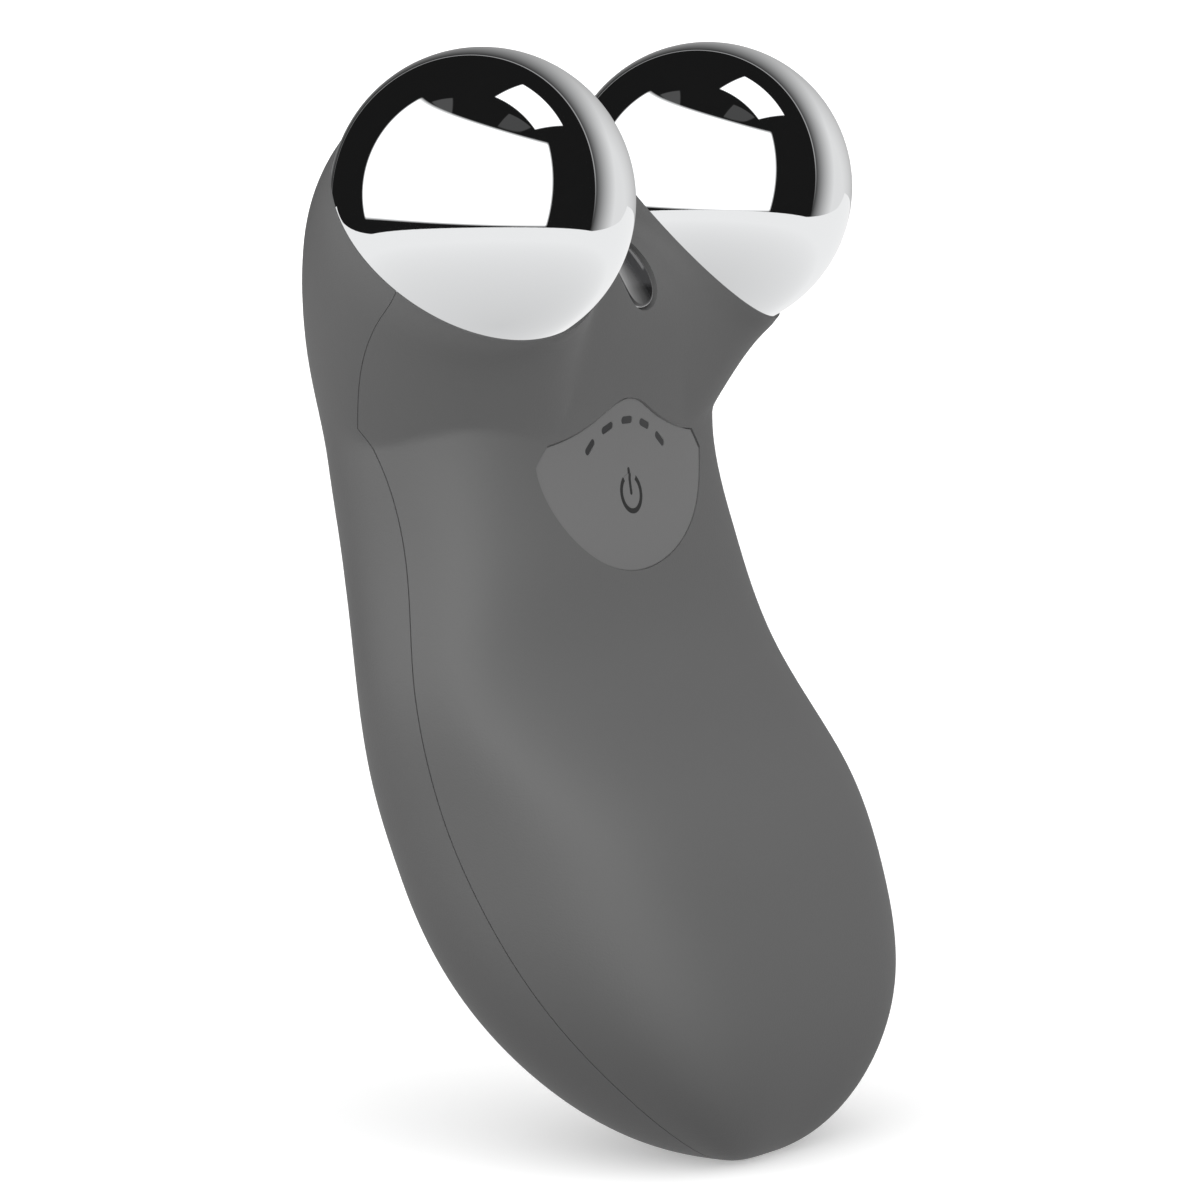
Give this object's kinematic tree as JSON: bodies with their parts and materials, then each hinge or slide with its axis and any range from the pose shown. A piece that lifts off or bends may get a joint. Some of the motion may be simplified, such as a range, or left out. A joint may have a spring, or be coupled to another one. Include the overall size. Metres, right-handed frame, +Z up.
{
  "type": "microcurrent facial toning device",
  "caption": "Handheld facial toner: chrome ball electrodes on splayed arms above a rounded soft-touch handle with a travelling press pad, indicator windows and a charging inlet.",
  "frame": {"origin": "middle of the bounding box's base, on the plane that the resting flat stands on", "axes": "+Z up along the handle to the balls, -Y the side with the press pad, +X to the right seen from the pad's side"},
  "size_m": [0.0702, 0.0474, 0.1074],
  "materials": {
    "soft_touch_grey": "soft-touch coating over ABS, fine grain",
    "pad_grey": "smooth satin moulding, a shade lighter than the shell",
    "chrome_plate": "mirror chrome plate",
    "steel": "zinc-plated steel",
    "tinned_brass": "tin-plated brass",
    "black_rubber": "matt black silicone rubber",
    "dark_lens": "smoked polycarbonate, high gloss",
    "smoked_window": "smoked window plastic",
    "black_ink": "black in-mould mark",
    "clear_guide": "clear polycarbonate",
    "led_white": "moulded LED package",
    "board_green": "green solder mask on glass epoxy",
    "black_plastic": "black moulded plastic",
    "cream_nylon": "natural nylon",
    "foil_silver": "pouch foil",
    "tray_black": "black ABS",
    "lead_red": "red silicone insulation",
    "lead_black": "black silicone insulation",
    "foam_grey": "soft closed-cell foam"
  },
  "bodies": {
    "toner": {"front_shell": "soft_touch_grey", "back_shell": "soft_touch_grey", "saddle_lens": "dark_lens", "light_guide": "clear_guide", "indicator_led_1": "led_white", "indicator_led_2": "led_white", "indicator_led_3": "led_white", "indicator_led_4": "led_white", "indicator_led_5": "led_white", "circuit_board": "board_green", "board_screws": "steel", "switch_body": "black_plastic", "controller_chip": "black_plastic", "boost_coil": "black_plastic", "buzzer": "black_plastic", "capacitor_1": "foil_silver", "capacitor_2": "foil_silver", "battery_socket": "cream_nylon", "battery_plug": "cream_nylon", "battery_cell": "foil_silver", "battery_foam": "foam_grey", "battery_tray": "tray_black", "tray_screws": "steel", "battery_lead_red": "lead_red", "battery_lead_black": "lead_black", "inlet_body": "black_plastic", "inlet_pin": "tinned_brass", "inlet_seal": "black_rubber", "left_inlet_lead": "lead_red", "right_inlet_lead": "lead_black", "left_ball": "chrome_plate", "left_ball_seal": "black_rubber", "left_stud": "steel", "left_nut": "steel", "left_terminal": "tinned_brass", "left_ball_lead": "lead_red", "right_ball": "chrome_plate", "right_ball_seal": "black_rubber", "right_stud": "steel", "right_nut": "steel", "right_terminal": "tinned_brass", "right_ball_lead": "lead_black"},
    "button": {"power_button": "pad_grey", "power_symbol": "black_ink", "indicator_window_1": "smoked_window", "indicator_window_2": "smoked_window", "indicator_window_3": "smoked_window", "indicator_window_4": "smoked_window", "indicator_window_5": "smoked_window"},
    "plunger": {"switch_plunger": "black_plastic"}
  },
  "joints": [
    {"name": "button_press", "type": "slide", "parent": "toner", "child": "button", "axis": [0, 1, 0], "range_m": [0, 0.00035], "stiffness_N_per_m": 2000, "springref_m": -0.0005},
    {"name": "plunger_press", "type": "slide", "parent": "toner", "child": "plunger", "axis": [0, 1, 0], "range_m": [0, 0.00035]}
  ],
  "couplings": [
    {"joint": "plunger_press", "follows": "button_press", "ratio": 1}
  ]
}
